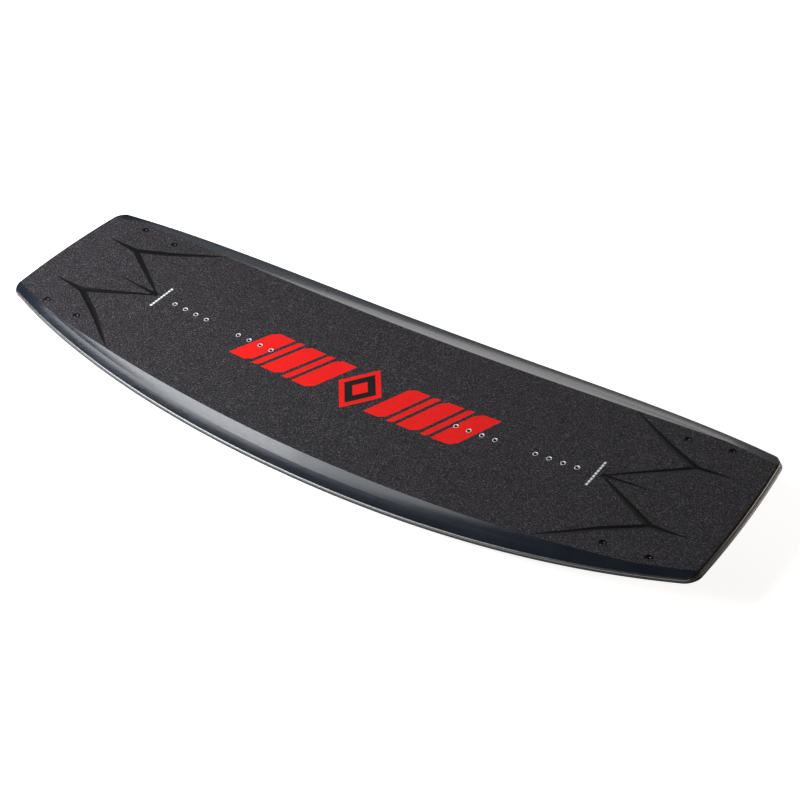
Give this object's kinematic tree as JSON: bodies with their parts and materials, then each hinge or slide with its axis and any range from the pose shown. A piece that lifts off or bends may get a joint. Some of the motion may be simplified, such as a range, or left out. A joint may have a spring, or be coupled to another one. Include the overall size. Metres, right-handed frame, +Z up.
{
  "type": "wakeboard",
  "caption": "Twin-tip rider board for kite or boat towing: rockered laminated deck with bevelled rails, centre-line binding inserts and bolt-on fins.",
  "frame": {"origin": "on the floor under the middle of the base, at the bottom centre of the bounding box", "axes": "+X along the board to the nose, its longest extent; +Y across to the toe edge; +Z up off the deck, its shortest extent"},
  "size_m": [1.416, 0.4398, 0.0749],
  "materials": {
    "deck": "matte",
    "base": "satin",
    "rail": "satin",
    "glass_laminate": "satin",
    "wood": "matte",
    "insert_strip": "satin",
    "steel": "satin",
    "sleeve": "satin",
    "black_steel": "satin",
    "brass": "satin",
    "fin": "satin"
  },
  "bodies": {
    "board": {"base_sheet": "base", "bottom_laminate": "glass_laminate", "wood_core": "wood", "top_laminate": "glass_laminate", "top_sheet": "deck", "toe_rail": "rail", "heel_rail": "rail", "nose_spacer": "rail", "tail_spacer": "rail", "insert_strip_nose": "insert_strip", "insert_strip_tail": "insert_strip", "binding_insert_nose_1": "steel", "binding_insert_nose_2": "steel", "binding_insert_nose_3": "steel", "binding_insert_nose_4": "steel", "binding_insert_nose_5": "steel", "binding_insert_nose_6": "steel", "binding_insert_nose_7": "steel", "binding_insert_nose_8": "steel", "binding_insert_tail_1": "steel", "binding_insert_tail_2": "steel", "binding_insert_tail_3": "steel", "binding_insert_tail_4": "steel", "binding_insert_tail_5": "steel", "binding_insert_tail_6": "steel", "binding_insert_tail_7": "steel", "binding_insert_tail_8": "steel", "fin_sleeve_nose_toe_inner": "sleeve", "fin_sleeve_nose_toe_outer": "sleeve", "fin_sleeve_nose_heel_inner": "sleeve", "fin_sleeve_nose_heel_outer": "sleeve", "fin_sleeve_tail_toe_inner": "sleeve", "fin_sleeve_tail_toe_outer": "sleeve", "fin_sleeve_tail_heel_inner": "sleeve", "fin_sleeve_tail_heel_outer": "sleeve"},
    "nose_toe_fin": {"fin_nose_toe": "fin", "fin_nut_nose_toe_inner": "brass", "fin_nut_nose_toe_outer": "brass"},
    "nose_toe_inner_bolt": {"fin_bolt_nose_toe_inner": "black_steel"},
    "nose_toe_outer_bolt": {"fin_bolt_nose_toe_outer": "black_steel"},
    "nose_heel_fin": {"fin_nose_heel": "fin", "fin_nut_nose_heel_inner": "brass", "fin_nut_nose_heel_outer": "brass"},
    "nose_heel_inner_bolt": {"fin_bolt_nose_heel_inner": "black_steel"},
    "nose_heel_outer_bolt": {"fin_bolt_nose_heel_outer": "black_steel"},
    "tail_toe_fin": {"fin_tail_toe": "fin", "fin_nut_tail_toe_inner": "brass", "fin_nut_tail_toe_outer": "brass"},
    "tail_toe_inner_bolt": {"fin_bolt_tail_toe_inner": "black_steel"},
    "tail_toe_outer_bolt": {"fin_bolt_tail_toe_outer": "black_steel"},
    "tail_heel_fin": {"fin_tail_heel": "fin", "fin_nut_tail_heel_inner": "brass", "fin_nut_tail_heel_outer": "brass"},
    "tail_heel_inner_bolt": {"fin_bolt_tail_heel_inner": "black_steel"},
    "tail_heel_outer_bolt": {"fin_bolt_tail_heel_outer": "black_steel"}
  },
  "joints": [
    {"name": "nose_toe_inner_bolt_turn", "type": "hinge", "parent": "board", "child": "nose_toe_inner_bolt", "pos_m": [0.5494, 0.1305, 0.04018], "axis": [-0.1457, 0, 0.9893], "range_deg": [0, 2880]},
    {"name": "nose_toe_outer_bolt_turn", "type": "hinge", "parent": "board", "child": "nose_toe_outer_bolt", "pos_m": [0.6236, 0.1305, 0.05112], "axis": [-0.1457, 0, 0.9893], "range_deg": [0, 2880]},
    {"name": "nose_toe_fin_release", "type": "slide", "parent": "board", "child": "nose_toe_fin", "axis": [0.1457, 0, -0.9893], "range_m": [0, 0.008]},
    {"name": "nose_heel_inner_bolt_turn", "type": "hinge", "parent": "board", "child": "nose_heel_inner_bolt", "pos_m": [0.5494, -0.1305, 0.04018], "axis": [-0.1457, 0, 0.9893], "range_deg": [0, 2880]},
    {"name": "nose_heel_outer_bolt_turn", "type": "hinge", "parent": "board", "child": "nose_heel_outer_bolt", "pos_m": [0.6236, -0.1305, 0.05112], "axis": [-0.1457, 0, 0.9893], "range_deg": [0, 2880]},
    {"name": "nose_heel_fin_release", "type": "slide", "parent": "board", "child": "nose_heel_fin", "axis": [0.1457, 0, -0.9893], "range_m": [0, 0.008]},
    {"name": "tail_toe_inner_bolt_turn", "type": "hinge", "parent": "board", "child": "tail_toe_inner_bolt", "pos_m": [-0.5494, 0.1305, 0.04018], "axis": [0.1457, 0, 0.9893], "range_deg": [0, 2880]},
    {"name": "tail_toe_outer_bolt_turn", "type": "hinge", "parent": "board", "child": "tail_toe_outer_bolt", "pos_m": [-0.6236, 0.1305, 0.05112], "axis": [0.1457, 0, 0.9893], "range_deg": [0, 2880]},
    {"name": "tail_toe_fin_release", "type": "slide", "parent": "board", "child": "tail_toe_fin", "axis": [-0.1457, 0, -0.9893], "range_m": [0, 0.008]},
    {"name": "tail_heel_inner_bolt_turn", "type": "hinge", "parent": "board", "child": "tail_heel_inner_bolt", "pos_m": [-0.5494, -0.1305, 0.04018], "axis": [0.1457, 0, 0.9893], "range_deg": [0, 2880]},
    {"name": "tail_heel_outer_bolt_turn", "type": "hinge", "parent": "board", "child": "tail_heel_outer_bolt", "pos_m": [-0.6236, -0.1305, 0.05112], "axis": [0.1457, 0, 0.9893], "range_deg": [0, 2880]},
    {"name": "tail_heel_fin_release", "type": "slide", "parent": "board", "child": "tail_heel_fin", "axis": [-0.1457, 0, -0.9893], "range_m": [0, 0.008]}
  ],
  "couplings": [
    {"joint": "nose_toe_inner_bolt_turn", "follows": "nose_toe_fin_release", "rad_per_m": 6283.2},
    {"joint": "nose_toe_outer_bolt_turn", "follows": "nose_toe_fin_release", "rad_per_m": 6283.2},
    {"joint": "nose_heel_inner_bolt_turn", "follows": "nose_heel_fin_release", "rad_per_m": 6283.2},
    {"joint": "nose_heel_outer_bolt_turn", "follows": "nose_heel_fin_release", "rad_per_m": 6283.2},
    {"joint": "tail_toe_inner_bolt_turn", "follows": "tail_toe_fin_release", "rad_per_m": 6283.2},
    {"joint": "tail_toe_outer_bolt_turn", "follows": "tail_toe_fin_release", "rad_per_m": 6283.2},
    {"joint": "tail_heel_inner_bolt_turn", "follows": "tail_heel_fin_release", "rad_per_m": 6283.2},
    {"joint": "tail_heel_outer_bolt_turn", "follows": "tail_heel_fin_release", "rad_per_m": 6283.2}
  ]
}
